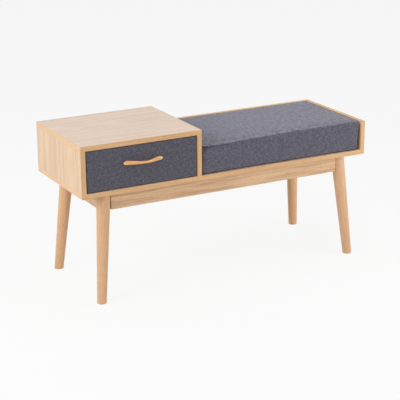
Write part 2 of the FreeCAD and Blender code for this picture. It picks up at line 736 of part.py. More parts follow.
def handle_section(place):
    """The oval of the handle at a share of its half length, -1 to 1, square to the bow."""
    share = abs(place)
    inward = min(1.0, share / handle_lobe_start)
    room = 1 - inward ** 2
    bow = handle_bow * room ** handle_bow_power
    slope = (-2 * handle_bow_power * handle_bow * place / handle_lobe_start ** 2
             * room ** (handle_bow_power - 1) / half_handle)
    swell = math.sin(inward * math.pi / 2) ** 2 * rounded_tip(share)
    shrink = rounded_tip(share)
    height = handle_waist_height * shrink + (handle_lobe_height - handle_waist_height) * swell
    depth = handle_waist_depth * shrink + (handle_lobe_depth - handle_waist_depth) * swell
    centre = Vector(bay_middle + place * half_handle, y_front - handle_stand - bow, z_handle)
    oval = Part.Ellipse(Vector(0, 0, 0), max(height, depth) / 2, min(height, depth) / 2)
    section = Part.Wire(oval.toShape())
    upright = up if height >= depth else along_y
    tangent = Vector(1, -slope, 0).normalize()
    across = tangent.cross(upright)
    turn = FreeCAD.Rotation(upright, across.negative(), tangent, "XYZ")
    section.Placement = FreeCAD.Placement(centre, turn)
    return section


places = [handle_end_share * math.sin(math.pi * (step / (handle_sections - 1) - 0.5))
          for step in range(handle_sections)]
handle = Part.makeLoft([handle_section(place) for place in places], True, False)
handle = handle.cut(block(x_front, x_front_right, y_front, y_front + front_board,
                          z_front, z_front_top))
handle_screw_length = drawer_board + 2 * fabric + front_board + handle_screw_grip
handle_screw_steps = [
    (screw_head_diameter, bracket_screw_head),
    (handle_screw_diameter, handle_screw_length),
]
handle_screws = []
for side in (-1, 1):
    head = Vector(bay_middle + side * handle_screw_place * half_handle,
                  front_screw_start + bracket_screw_head, z_handle)
    screw, hole = fastener(handle_screw_steps, head, along_y.negative())
    handle_screws.append(screw)
    front_holes.append(hole)
handle = drilled(handle, front_holes)
write_node("drawer_handle", [handle])
write_node("handle_screws", handle_screws)
write_node("drawer_front_screws", front_screws)
write_node("drawer_front_board", [drilled(front_core, front_holes)])
write_node("drawer_front_fabric", [drilled(wrap, front_holes)])
write_node("drawer_inner_front", [drilled(inner_front, drawer_holes + front_holes)])
write_node("drawer_left_side", [drilled(drawer_side, drawer_holes)])
write_node("drawer_right_side", [drilled(mirrored_bay(drawer_side), drawer_holes)])
write_node("drawer_back", [drilled(drawer_back, drawer_holes)])
write_node("drawer_bottom", [bottom_panel])
write_node("drawer_box_screws", drawer_box_screws)

# Seat cushion: a foam block in a sewn cover, lying loose between the divider, the rail and the
# end panel. Its top is crowned, its long sides are drawn in between the corners, and its edges
# are rounded.
cushion_low = z_deck + seat_gap
cushion_x0 = x_seat_left + cushion_side_gap
cushion_x1 = x_seat_right - cushion_side_gap
cushion_y0 = y_front + cushion_front_set
cushion_y1 = y_rail - cushion_back_gap


def arc(start, through, end):
    """An edge along the circle through three points."""
    return Part.Arc(start, through, end).toShape()


def cushion_section(x, inset, drawn_in, crown, shell):
    """The upright outline of the cushion at x: flat below, round at its edges, crowned on top."""
    front = cushion_y0 + inset + drawn_in + shell
    back = cushion_y1 - inset - drawn_in - shell
    low = cushion_low + shell
    high = z_deck + cushion_ridge - inset - shell
    round_top = cushion_top_round - shell
    round_low = cushion_bottom_round - shell
    corner = 1 - math.sqrt(0.5)
    middle = (front + back) / 2
    waist = (low + round_low + high - round_top) / 2
    points = [
        Vector(x, front + round_low, low),
        Vector(x, back - round_low, low),
        Vector(x, back, low + round_low),
        Vector(x, back, high - round_top),
        Vector(x, back - round_top, high),
        Vector(x, front + round_top, high),
        Vector(x, front, high - round_top),
        Vector(x, front, low + round_low),
    ]
    edges = [
        Part.LineSegment(points[0], points[1]).toShape(),
        arc(points[1], Vector(x, back - corner * round_low, low + corner * round_low), points[2]),
        arc(points[2], Vector(x, back + cushion_side_belly, waist), points[3]),
        arc(points[3], Vector(x, back - corner * round_top, high - corner * round_top), points[4]),
        arc(points[4], Vector(x, middle, high + crown), points[5]),
        arc(points[5], Vector(x, front + corner * round_top, high - corner * round_top), points[6]),
        arc(points[6], Vector(x, front - cushion_side_belly, waist), points[7]),
        arc(points[7], Vector(x, front + corner * round_low, low + corner * round_low), points[0]),
    ]
    return Part.Wire(edges)


def cushion_body(shell):
    """The cushion's form, a shell's thickness inside its outer surface.

    Its upright outlines stand close together where the ends round off, as the points of a quarter
    circle, and further and further apart towards the middle.
    """
    x0 = cushion_x0 + shell
    x1 = cushion_x1 - shell
    half_span = (x1 - x0) / 2
    round_end = cushion_end_round - shell
    depths = [round_end * (1 - math.cos(math.pi / 2 * step / cushion_end_steps))
              for step in range(cushion_end_steps + 1)]
    depths += [round_end + (half_span - round_end) * (step / cushion_span_steps) ** cushion_span_power
               for step in range(1, cushion_span_steps)]
    places = [x0 + depth for depth in depths]
    places += [x0 + half_span]
    places += [x1 - depth for depth in reversed(depths)]
    sections = []
    for x in places:
        to_end = min(x - x0, x1 - x, round_end)
        inset = round_end - math.sqrt(round_end ** 2 - (round_end - to_end) ** 2)
        middle_share = 1 - ((x - x0) / half_span - 1) ** 2
        sections.append(cushion_section(x, inset * cushion_end_share, cushion_draw_in * middle_share,
                                        cushion_end_crown + cushion_crown * middle_share, shell))
    return Part.makeLoft(sections, True, False)


# The cover is sewn from a boxed top and a flat underside panel, and the foam fills it.
cushion_outside = cushion_body(0.0)
underside_top = cushion_low + cushion_cloth
underside_room = block(x_seat_left, x_seat_right, y_front, y_rail, z_base, underside_top)
cushion_underside = cushion_outside.common(underside_room)
cushion_cover = cushion_outside.cut(underside_room).cut(cushion_body(cushion_cloth))
write_node("cushion_cover", cushion_cover.Solids)
write_node("cushion_underside", cushion_underside.Solids)
write_node("cushion_foam", [cushion_body(cushion_cloth + seat_gap)])
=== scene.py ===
import math

import bpy
import numpy as np
from mathutils import Matrix, Vector


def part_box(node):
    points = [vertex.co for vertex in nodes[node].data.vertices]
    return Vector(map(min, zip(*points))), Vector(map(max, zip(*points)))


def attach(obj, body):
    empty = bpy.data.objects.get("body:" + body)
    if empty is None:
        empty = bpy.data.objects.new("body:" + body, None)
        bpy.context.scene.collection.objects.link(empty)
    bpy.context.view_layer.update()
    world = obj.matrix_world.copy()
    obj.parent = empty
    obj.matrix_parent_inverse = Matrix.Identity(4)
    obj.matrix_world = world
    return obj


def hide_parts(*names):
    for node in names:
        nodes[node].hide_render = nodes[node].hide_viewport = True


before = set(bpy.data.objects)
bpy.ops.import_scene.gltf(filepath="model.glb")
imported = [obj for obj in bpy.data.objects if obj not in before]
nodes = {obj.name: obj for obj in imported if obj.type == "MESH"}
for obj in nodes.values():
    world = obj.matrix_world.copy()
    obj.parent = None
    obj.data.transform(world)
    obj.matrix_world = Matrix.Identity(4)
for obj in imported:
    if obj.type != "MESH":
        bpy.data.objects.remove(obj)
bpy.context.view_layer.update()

# The studio: a pale floor and sky without a horizon, soft light from the left, from above and from
# the right of the camera, and the camera where the photograph was taken from. It is only the stage.
sky_white = 0.939               # what the sky shows to the camera, as linear light
floor_glow = 1.0                # the same for the floor, before its own shade is mixed in
floor_albedo = 0.85
floor_half = 9.0
floor_shade_share = 0.12        # how much of the floor's own light and shadow shows
sky_strength = 0.30
camera_place = Vector((-1.8906, -3.4706, 1.4988))
camera_turn = math.radians(-28.314)
camera_dip = math.radians(18.073)
camera_roll = math.radians(-0.369)
camera_lens = 115.86


def add(tree, kind, inputs=None, **settings):
    """A shader node. In inputs, a socket makes a link and anything else is the input's value."""
    node = tree.nodes.new("ShaderNode" + kind)
    for name, value in settings.items():
        setattr(node, name, value)
    for key, value in (inputs or {}).items():
        if isinstance(value, bpy.types.NodeSocket):
            tree.links.new(value, node.inputs[key])
        else:
            node.inputs[key].default_value = value
    return node


def calc(tree, operation, *values):
    """The outcome of one sum on numbers or sockets."""
    return add(tree, "Math", dict(enumerate(values)), operation=operation).outputs[0]


def seen_directly(tree):
    """1 for the camera and for what mirrors or passes the background, 0 for light on the bench."""
    path = add(tree, "LightPath")
    mirrored = calc(tree, "MAXIMUM", path.outputs["Is Glossy Ray"],
                    path.outputs["Is Transmission Ray"])
    return calc(tree, "MAXIMUM", path.outputs["Is Camera Ray"], mirrored)


def mesh_piece(name, points, faces, material):
    """A mesh object at the origin, from an array of points and an array of faces."""
    mesh = bpy.data.meshes.new(name)
    mesh.from_pydata(points.reshape(-1, 3).tolist(), [], faces.tolist())
    mesh.polygons.foreach_set("use_smooth", np.ones(len(mesh.polygons), bool))
    mesh.materials.append(material)
    mesh.update()
    piece = bpy.data.objects.new(name, mesh)
    bpy.context.scene.collection.objects.link(piece)
    return piece


def bare_material(name):
    """An empty node material and its output node."""
    material = bpy.data.materials.new(name)
    material.use_nodes = True
    material.node_tree.nodes.clear()
    return material, material.node_tree, add(material.node_tree, "OutputMaterial")


floor_paint, tree, output = bare_material("studio_floor")
matt = add(tree, "BsdfDiffuse", {"Color": (floor_albedo, floor_albedo, floor_albedo, 1)})
glow = add(tree, "Emission", {"Color": (floor_glow, floor_glow, floor_glow, 1)})
share = calc(tree, "MULTIPLY", seen_directly(tree), 1 - floor_shade_share)
mixed = add(tree, "MixShader", {0: share, 1: matt.outputs[0], 2: glow.outputs[0]})
tree.links.new(mixed.outputs[0], output.inputs["Surface"])
floor_corners = floor_half * np.array([(-1, -1, 0), (1, -1, 0), (1, 1, 0), (-1, 1, 0)], float)
floor = mesh_piece("studio_floor", floor_corners, np.array([[0, 1, 2, 3]]), floor_paint)

world = bpy.data.worlds.new("studio_sky")
bpy.context.scene.world = world
world.use_nodes = True
tree = world.node_tree
tree.nodes.clear()
dim = add(tree, "Background", {"Color": (1, 1, 1, 1), "Strength": sky_strength})
white = add(tree, "Background", {"Color": (1, 1, 1, 1), "Strength": sky_white})
mixed = add(tree, "MixShader", {0: seen_directly(tree), 1: dim.outputs[0], 2: white.outputs[0]})
output = add(tree, "OutputWorld")
tree.links.new(mixed.outputs[0], output.inputs["Surface"])


def softbox(name, place, aim, size, power):
    """A square area lamp of that size in metres and power in watts, turned from place to aim."""
    lamp = bpy.data.lights.new(name, "AREA")
    lamp.shape = "SQUARE"
    lamp.size = size
    lamp.energy = power
    holder = bpy.data.objects.new(name, lamp)
    bpy.context.scene.collection.objects.link(holder)
    toward = Vector(aim) - Vector(place)
    holder.matrix_world = (
        Matrix.Translation(place) @ toward.to_track_quat("-Z", "Y").to_matrix().to_4x4()
    )


softbox("lamp_left", place=(-3.0, -0.7, 1.7), aim=(-0.2, 0, 0.3), size=1.8, power=55)
softbox("lamp_above", place=(-0.2, 0.3, 3.4), aim=(0, 0, 0.4), size=2.2, power=25)
softbox("lamp_right", place=(1.65, -1.65, 1.05), aim=(0.1, 0, 0.35), size=1.2, power=23)

camera = bpy.data.objects.new("camera", bpy.data.cameras.new("camera"))
bpy.context.scene.collection.objects.link(camera)
camera.matrix_world = (
    Matrix.Translation(camera_place)
    @ Matrix.Rotation(camera_turn, 4, "Z")
    @ Matrix.Rotation(math.pi / 2 - camera_dip, 4, "X")
    @ Matrix.Rotation(camera_roll, 4, "Z")
)
camera.data.lens = camera_lens
bpy.context.scene.camera = camera
bpy.context.scene.view_settings.view_transform = "Standard"

# The carcass boards: chipboard with a pale oak veneer under a matt lacquer, sawn square. The
# figure runs along the long boards and up the uprights, and differs from board to board.
veneer_warm = ((240, 207, 174), (213, 176, 137), (173, 132, 96))
# The flat boards, whose tops face up, take a paler and greyer copy of the same veneer: partly
# painted reflection of the white studio on their tops.
veneer_flat_with_painted_reflection = ((242, 218, 198), (221, 193, 170), (182, 151, 126))
rings_in_tone = 0.4             # how much the rings count in how deep the wood's tone is
streaks_in_tone = 0.9           # and how much the streaks do
tone_range = (0.68, 1.72)       # the tone where the wood is all pale, and where it is all deep
dark_line_range = (0.48, 0.60)  # how strong a streak is where its dark line starts and is full
end_strip_share = 0.75          # how far an end strip covers the colour under it
wear_width = 0.0022
wear_shade = 0.25
wear_rounding = 2.0             # how far worn edges sink, in grain depths
grain_depth = 0.00012
lacquer_roughness = 0.38


def paint(red, green, blue):
    """A colour written as 0 to 255, as the linear light that a shader socket takes."""
    shares = np.array([red, green, blue]) / 255
    linear = np.where(shares <= 0.04045, shares / 12.92, ((shares + 0.055) / 1.055) ** 2.4)
    return (*linear, 1.0)


def blend_colour(tree, share, first, second):
    """Two colours mixed by a share, which is a socket or a number."""
    return add(tree, "Mix", {0: share, 6: first, 7: second}, data_type="RGBA").outputs[2]


def smooth_range(tree, value, low, high):
    """0 below low, 1 above high, and a smooth step between them."""
    step = add(tree, "MapRange", {"Value": value, "From Min": low, "From Max": high},
               interpolation_type="SMOOTHSTEP")
    return step.outputs["Result"]


def new_group(name, inputs, outputs):
    """An empty node group with named sockets, and the nodes that hold them inside it."""
    group = bpy.data.node_groups.new(name, "ShaderNodeTree")
    for socket_name, kind in inputs:
        group.interface.new_socket(socket_name, in_out="INPUT", socket_type="NodeSocket" + kind)
    for socket_name, kind in outputs:
        group.interface.new_socket(socket_name, in_out="OUTPUT", socket_type="NodeSocket" + kind)
    return group, group.nodes.new("NodeGroupInput"), group.nodes.new("NodeGroupOutput")


def stretched(tree, vector, along):
    """The pattern's coordinates with everything along X drawn out."""
    return add(tree, "VectorMath", {0: vector, 1: (along, 1, 1)}, operation="MULTIPLY").outputs[0]


# Wood figure, with the grain along X: growth rings are cones round the log's axis, so a flat cut
# shows arches and a cut through the axis shows lines. A slow noise makes the rings wander and a
# quicker one bends them. Streaks are drawn-out patches of darker wood that follow the bends.
cone_slope = 0.05
bend_share = 0.35
mean_wander = 0.675             # of the two noises together, taken off so that the rings stay put
ring_band_range = (0.32, 0.66)  # where a slow band hides the rings, and where it shows them
streak_bend = (0, 0.012, 0.012)
pore_range = (0.58, 0.72)
pore_depth = 0.8
fibre_depth = 0.35


def drawn_noise(tree, vector, along, scale, detail, roughness=0.5):
    """Noise in patches drawn out along X, more so as along gets smaller."""
    return add(tree, "TexNoise", {"Vector": stretched(tree, vector, along), "Scale": scale,
                                  "Detail": detail, "Roughness": roughness}).outputs


figure, taken, given = new_group(
    "wood_figure",
    [("Vector", "Vector"), ("Ring Width", "Float"), ("Wander", "Float"), ("Streak Scale", "Float")],
    [("Rings", "Float"), ("Streaks", "Float"), ("Fibres", "Float"), ("Pores", "Float"),
     ("Height", "Float")])
place = taken.outputs["Vector"]
parts = add(figure, "SeparateXYZ", {0: place}).outputs
slow = drawn_noise(figure, place, 0.10, 11, 2)
bend = drawn_noise(figure, place, 0.16, 42, 2)
wander = calc(figure, "MULTIPLY_ADD", bend["Fac"], bend_share, slow["Fac"])
wander = calc(figure, "MULTIPLY", calc(figure, "SUBTRACT", wander, mean_wander),
              taken.outputs["Wander"])
cone = calc(figure, "MULTIPLY_ADD", parts["X"], cone_slope, parts["Z"])
radius = calc(figure, "SQRT", calc(figure, "ADD", calc(figure, "POWER", parts["Y"], 2.0),
                                   calc(figure, "POWER", cone, 2.0)))
turns = calc(figure, "DIVIDE", calc(figure, "ADD", radius, wander), taken.outputs["Ring Width"])
wave = calc(figure, "SINE", calc(figure, "MULTIPLY", turns, 2 * math.pi))
band = drawn_noise(figure, place, 0.06, 75, 2)
strength = smooth_range(figure, band["Fac"], *ring_band_range)
rings = calc(figure, "MULTIPLY", calc(figure, "MULTIPLY_ADD", wave, 0.5, 0.5), strength)
streak_place = add(figure, "VectorMath", {0: bend["Color"], 1: streak_bend, 2: place},
                   operation="MULTIPLY_ADD").outputs[0]
streaks = drawn_noise(figure, streak_place, 0.05, taken.outputs["Streak Scale"], 4, 0.6)["Fac"]
fibre = drawn_noise(figure, place, 0.015, 260, 3, 0.6)["Fac"]
pore_noise = drawn_noise(figure, place, 0.05, 1300, 1)["Fac"]
open_rings = calc(figure, "MULTIPLY_ADD", rings, -0.7, 1.0)
pores = calc(figure, "MULTIPLY", smooth_range(figure, pore_noise, *pore_range), open_rings)
height = calc(figure, "MULTIPLY_ADD", pores, -pore_depth,
              calc(figure, "MULTIPLY", fibre, fibre_depth))
for socket_name, value in (("Rings", rings), ("Streaks", streaks), ("Fibres", fibre),
                           ("Pores", pores), ("Height", height)):
    figure.links.new(value, given.inputs[socket_name])

# Edge wear: how near a point lies to an edge of a square board, from 0 on the open faces to 1 on
# the arris. The second smallest of its three distances to the board's faces tells.
edges, taken, given = new_group(
    "edge_wear",
    [("Vector", "Vector"), ("Low", "Vector"), ("High", "Vector"), ("Width", "Float")],
    [("Mask", "Float")])
above = add(edges, "VectorMath", {0: taken.outputs["Vector"], 1: taken.outputs["Low"]},
            operation="SUBTRACT").outputs[0]
below = add(edges, "VectorMath", {0: taken.outputs["High"], 1: taken.outputs["Vector"]},
            operation="SUBTRACT").outputs[0]
near = add(edges, "VectorMath", {0: above, 1: below}, operation="MINIMUM").outputs[0]
gaps = add(edges, "SeparateXYZ", {0: near}).outputs
lesser = calc(edges, "MINIMUM", gaps["X"], gaps["Y"])
greater = calc(edges, "MAXIMUM", gaps["X"], gaps["Y"])
second = calc(edges, "MAXIMUM", lesser, calc(edges, "MINIMUM", greater, gaps["Z"]))
scuffs = add(edges, "TexNoise", {"Vector": taken.outputs["Vector"], "Scale": 90, "Detail": 3})
reach = calc(edges, "MULTIPLY", taken.outputs["Width"],
             calc(edges, "ADD", scuffs.outputs["Fac"], 0.5))
unworn = smooth_range(edges, calc(edges, "DIVIDE", second, reach), 0, 1)
mask = calc(edges, "SUBTRACT", 1.0, unworn)
edges.links.new(mask, given.inputs["Mask"])


def use_group(tree, group, inputs):
    """A group placed in a material, with its outputs by name."""
    holder = tree.nodes.new("ShaderNodeGroup")
    holder.node_tree = group
    for key, value in inputs.items():
        if isinstance(value, bpy.types.NodeSocket):
            tree.links.new(value, holder.inputs[key])
        else:
            holder.inputs[key].default_value = value
    return holder.outputs


def finish_material(tree, output, colour, roughness, height, depth, **sockets):
    """The surface shader: colour, gloss and a bump of that depth in metres, plus plain values."""
    bump = add(tree, "Bump", {"Height": height, "Distance": depth, "Strength": 1.0})
    surface = add(tree, "BsdfPrincipled", {"Base Color": colour, "Roughness": roughness,
                                           "Normal": bump.outputs["Normal"]})
    for name, value in sockets.items():
        surface.inputs[name.replace("_", " ").title()].default_value = value
    tree.links.new(surface.outputs[0], output.inputs["Surface"])


def grain_turn(along):
    """The rotation that carries a grain direction onto X."""
    return Vector(along).rotation_difference(Vector((1, 0, 0))).to_euler()


def wood(name, low, high, along, colours, ring, wander, log_offset, gloss, pore_share=0.5,
         lacquer=0.0, lines=0.25, streak_scale=34, end_strip=0.0, end_colour=None):
    """A wood finish for one piece: rings, streaks, fibres and pores, a little darker at its edges.

    The three colours are the pale wood, the deep wood and the pores. The log's axis lies
    log_offset away from the piece's middle, square to the grain. Within end_strip of the piece's
    two ends along X, the grain runs crosswise and takes the end colour.
    """
    pale, deep, pore = (paint(*colour) for colour in colours)
    material, tree, output = bare_material(name)
    place = add(tree, "TexCoord").outputs["Object"]
    turn = grain_turn(along)
    middle = (low + high) / 2
    centred = Vector(log_offset) - turn.to_matrix() @ middle
    turned = add(tree, "Mapping", {"Vector": place, "Location": centred,
                                   "Rotation": turn}).outputs[0]
    if end_strip:
        across = add(tree, "VectorRotate", {"Vector": turned, "Angle": math.pi / 2},
                     rotation_type="Z_AXIS").outputs[0]
        from_middle = calc(tree, "ABSOLUTE", calc(
            tree, "SUBTRACT", add(tree, "SeparateXYZ", {0: place}).outputs["X"], middle.x))
        from_end = calc(tree, "SUBTRACT", (high.x - low.x) / 2, from_middle)
        at_end = calc(tree, "LESS_THAN", from_end, end_strip)
        turned = add(tree, "Mix", {0: at_end, 4: turned, 5: across}, data_type="VECTOR").outputs[1]
    grain = use_group(tree, figure, {"Vector": turned, "Ring Width": ring, "Wander": wander,
                                     "Streak Scale": streak_scale})
    worn = use_group(tree, edges, {"Vector": place, "Low": low, "High": high,
                                   "Width": wear_width})
    tone = calc(tree, "MULTIPLY_ADD", grain["Rings"], rings_in_tone, grain["Fibres"])
    tone = calc(tree, "MULTIPLY_ADD", grain["Streaks"], streaks_in_tone, tone)
    colour = blend_colour(tree, smooth_range(tree, tone, *tone_range), pale, deep)
    dark_lines = smooth_range(tree, grain["Streaks"], *dark_line_range)
    colour = blend_colour(tree, calc(tree, "MULTIPLY", dark_lines, lines), colour, deep)
    if end_strip:
        covered = calc(tree, "MULTIPLY", at_end, end_strip_share)
        colour = blend_colour(tree, covered, colour, paint(*end_colour))
    colour = blend_colour(tree, calc(tree, "MULTIPLY", grain["Pores"], pore_share), colour, pore)
    colour = blend_colour(tree, calc(tree, "MULTIPLY", worn["Mask"], wear_shade), colour, deep)
    roughness = calc(tree, "MULTIPLY_ADD", grain["Fibres"], 0.16, gloss)
    rounded = calc(tree, "MULTIPLY_ADD", worn["Mask"], -wear_rounding, grain["Height"])
    finish_material(tree, output, colour, roughness, rounded, grain_depth, coat_weight=lacquer,
                    coat_roughness=lacquer_roughness)
    return material


def dress(node, material):
    """Give a CAD node its finish."""
    nodes[node].data.materials.clear()
    nodes[node].data.materials.append(material)


lengthwise = (1, 0, 0)
crosswise = (0, 1, 0)
upright = (0, 0, 1)

# Each board's grain direction, its veneer, and where its middle lies from the log's axis.
boards = {
    "base_board": (lengthwise, veneer_flat_with_painted_reflection, (0.1, 0.05, 0.06)),
    "drawer_top_board": (lengthwise, veneer_flat_with_painted_reflection, (0.2, -0.04, 0.05)),
    "left_side_panel": (upright, veneer_warm, (0.05, 0.10, 0.045)),
    "divider_panel": (upright, veneer_warm, (-0.04, -0.08, 0.05)),
    "right_end_panel": (upright, veneer_warm, (0.02, 0.06, 0.055)),
    "seat_back_rail": (lengthwise, veneer_warm, (-0.1, 0.05, 0.03)),
}
for node, (along, colours, log_offset) in boards.items():
    low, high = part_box(node)
    dress(node, wood(node + "_veneer", low, high, along, colours, ring=0.009, wander=0.030,
                     log_offset=log_offset, gloss=0.42, lacquer=0.35))

# The edge strips: honey-coloured oak, glued round the boards and trimmed flush. Their grain runs
# the way of their board's, and turns crosswise in the paler strips on the ends of long boards.
strip_colours = ((236, 189, 134), (212, 163, 110), (168, 118, 72))
strip_end_colour = (240, 200, 156)
strip_thickness = 0.0011
for node, (along, _, _) in boards.items():
    low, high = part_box(node + "_edges")
    dress(node + "_edges", wood(node + "_edges_oak", low, high, along, strip_colours, ring=0.006,
                                wander=0.02, log_offset=(0.0, 0.02, 0.04), gloss=0.40, lacquer=0.4,
                                end_strip=strip_thickness if along == lengthwise else 0.0,
                                end_colour=strip_end_colour))

# The drawer bay's back: a thin hardboard panel, slid into grooves in the boards round it. Its
# smooth side is towards the bay.
hardboard_colours = ((176, 134, 96), (150, 108, 72), (112, 78, 50))
speck_range = (0.35, 0.65)
dark_speck_range = (0.60, 0.75)
cloud_share = 0.25


def fibreboard(name, colours, speckle, gloss):
    """Pressed wood fibre: fine specks of three browns with no direction."""
    pale, deep, dark = (paint(*colour) for colour in colours)
    material, tree, output = bare_material(name)
    place = add(tree, "TexCoord").outputs["Object"]
    cloud = add(tree, "TexNoise", {"Vector": place, "Scale": 22, "Detail": 3}).outputs["Fac"]
    specks = add(tree, "TexNoise", {"Vector": place, "Scale": speckle, "Detail": 4,
                                    "Roughness": 0.7}).outputs["Fac"]
    colour = blend_colour(tree, smooth_range(tree, specks, *speck_range), pale, deep)
    colour = blend_colour(tree, smooth_range(tree, specks, *dark_speck_range), colour, dark)
    colour = blend_colour(tree, calc(tree, "MULTIPLY", cloud, cloud_share), colour, deep)
    roughness = calc(tree, "MULTIPLY_ADD", specks, 0.2, gloss)
    finish_material(tree, output, colour, roughness, specks, 0.0001)
    return material


dress("drawer_bay_back", fibreboard("bay_back_hardboard", hardboard_colours, speckle=420,
                                    gloss=0.45))

# The aprons: solid oak rails under the base board, planed and lacquered, grain lengthwise. They
# meet the flats of the legs and are screwed up into the base board.
apron_colours = ((238, 199, 157), (198, 153, 115), (150, 106, 72))
aprons = {
    "front_apron": (lengthwise, (0.3, 0.010, 0.050)),
    "back_apron": (lengthwise, (-0.1, 0.012, 0.060)),
    "left_apron": (crosswise, (0.0, 0.010, 0.045)),
    "right_apron": (crosswise, (0.1, 0.012, 0.055)),
}
for node, (along, log_offset) in aprons.items():
    low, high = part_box(node)
    dress(node, wood(node + "_oak", low, high, along, apron_colours, ring=0.007, wander=0.030,
                     log_offset=log_offset, gloss=0.36, lines=0.45, streak_scale=80))

# The legs: turned from solid oak, tapered, sanded and lacquered. The grain follows each leg's own
# lean. The back right leg is drawn in paler colours than the others: painted light on it. The box
# for the edge wear is taken wide of the leg, because a turning has no arris.
leg_colours = ((237, 192, 149), (215, 167, 123), (170, 122, 82))
leg_colours_painted_light = ((250, 202, 153), (230, 178, 128), (182, 130, 86))
splay_sideways = math.tan(math.radians(5.0))
splay_forward = math.tan(math.radians(5.2))
clear_of_edges = Vector((0.1, 0.1, 0.1))
log_place = (0.1, 0.016, 0.030)
log_shift = 0.004               # the back legs are cut this much further from the axis
for end, side in (("front", -1), ("back", 1)):
    for hand, way in (("left", -1), ("right", 1)):
        node = f"leg_{end}_{hand}"
        low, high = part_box(node)
        lean = Vector((way * splay_sideways, side * splay_forward, -1)).normalized()
        log_offset = (log_place[0] * way, log_place[1] + log_shift * side, log_place[2] * way)
        # Painted light: the back right leg is drawn brighter than the lamps light it.
        colours = leg_colours_painted_light if (side, way) == (1, 1) else leg_colours
        dress(node, wood(node + "_oak", low - clear_of_edges, high + clear_of_edges, lean, colours,
                         ring=0.0055, wander=0.020, log_offset=log_offset, gloss=0.32))

# Screws, bolts, washers, nuts, cams and brackets: zinc-plated steel, dulled in cloudy patches,
# with fine marks of the press and the lathe.
zinc_bright = (206, 208, 210)
zinc_dull = (150, 153, 158)
dull_range = (0.35, 0.7)
marks_per_patch = 12


def zinc(name, scale):
    """Zinc plating: metal whose gloss and tone drift in patches, with fine scratches."""
    material, tree, output = bare_material(name)
    place = add(tree, "TexCoord").outputs["Object"]
    patches = add(tree, "TexNoise", {"Vector": place, "Scale": scale, "Detail": 4}).outputs["Fac"]
    marks = drawn_noise(tree, place, 0.1, scale * marks_per_patch, 2)["Fac"]
    colour = blend_colour(tree, smooth_range(tree, patches, *dull_range), paint(*zinc_bright),
                          paint(*zinc_dull))
    roughness = calc(tree, "MULTIPLY_ADD", marks, 0.22, 0.20)
    finish_material(tree, output, colour, roughness, marks, 0.00003, metallic=1.0)
    return material


zinc_small = zinc("zinc_fasteners", scale=160)
zinc_plate = zinc("zinc_brackets", scale=70)
for node in ("carcass_screws", "cam_bolts", "cam_locks", "apron_screws", "bracket_screws",
             "hanger_bolts", "hanger_washers", "hanger_nuts", "fixed_runner_screws",
             "fixed_runner_pins", "drawer_runner_pins", "drawer_runner_screws",
             "drawer_front_screws", "drawer_box_screws", "handle_screws"):
    dress(node, zinc_small)
dress("corner_brackets", zinc_plate)

# The dowels: raw beech, pressed with glue into blind holes between the boards. They are hidden
# once the carcass is together.
dowel_colours = ((226, 188, 148), (206, 164, 122), (178, 134, 96))
low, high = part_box("wooden_dowels")
dress("wooden_dowels", wood("beech_dowels", low, high, upright, dowel_colours, ring=0.004,
                            wander=0.01, log_offset=(0.0, 0.01, 0.02), gloss=0.55))

# The runners: rolled steel with a baked cream enamel, and rollers of white nylon on riveted pins.
enamel_cream = (232, 228, 216)
enamel_shade = (214, 209, 194)
nylon_white = (238, 238, 234)
nylon_grey = (212, 212, 208)
shade_range = (0.35, 0.7)


def coated(name, bright, shade, scale, gloss, depth):
    """A smooth coating or moulding: a fine dimpled skin with faint cloudy shade."""
    material, tree, output = bare_material(name)
    place = add(tree, "TexCoord").outputs["Object"]
    clouds = add(tree, "TexNoise", {"Vector": place, "Scale": 40, "Detail": 3}).outputs["Fac"]
    skin = add(tree, "TexNoise", {"Vector": place, "Scale": scale, "Detail": 2}).outputs["Fac"]
    shaded = smooth_range(tree, clouds, *shade_range)
    colour = blend_colour(tree, shaded, paint(*bright), paint(*shade))
    roughness = calc(tree, "MULTIPLY_ADD", skin, 0.15, gloss)
    finish_material(tree, output, colour, roughness, skin, depth)
    return material


enamel = coated("runner_enamel", enamel_cream, enamel_shade, scale=700, gloss=0.25, depth=0.00004)
nylon = coated("roller_nylon", nylon_white, nylon_grey, scale=500, gloss=0.35, depth=0.00003)
for side in ("left", "right"):
    dress(side + "_fixed_runner", enamel)
    dress(side + "_drawer_runner", enamel)
    dress(side + "_front_roller", nylon)
    dress(side + "_rear_roller", nylon)

# The drawer box: boards in a matt pale oak foil, screwed at the corners, and a thin bottom of
# the same foil on hardboard.
foil_colours = ((231, 210, 182), (214, 189, 158), (186, 156, 122))
box_boards = {
    "drawer_inner_front": (lengthwise, (0.0, 0.03, 0.05)),
    "drawer_left_side": (crosswise, (0.1, 0.03, 0.06)),
    "drawer_right_side": (crosswise, (-0.1, 0.02, 0.05)),
    "drawer_back": (lengthwise, (0.2, 0.04, 0.06)),
    "drawer_bottom": (crosswise, (0.0, -0.06, 0.08)),
}
for node, (along, log_offset) in box_boards.items():
    low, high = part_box(node)
    dress(node, wood(node + "_foil", low, high, along, foil_colours, ring=0.012, wander=0.03,
                     log_offset=log_offset, gloss=0.5, pore_share=0.25))

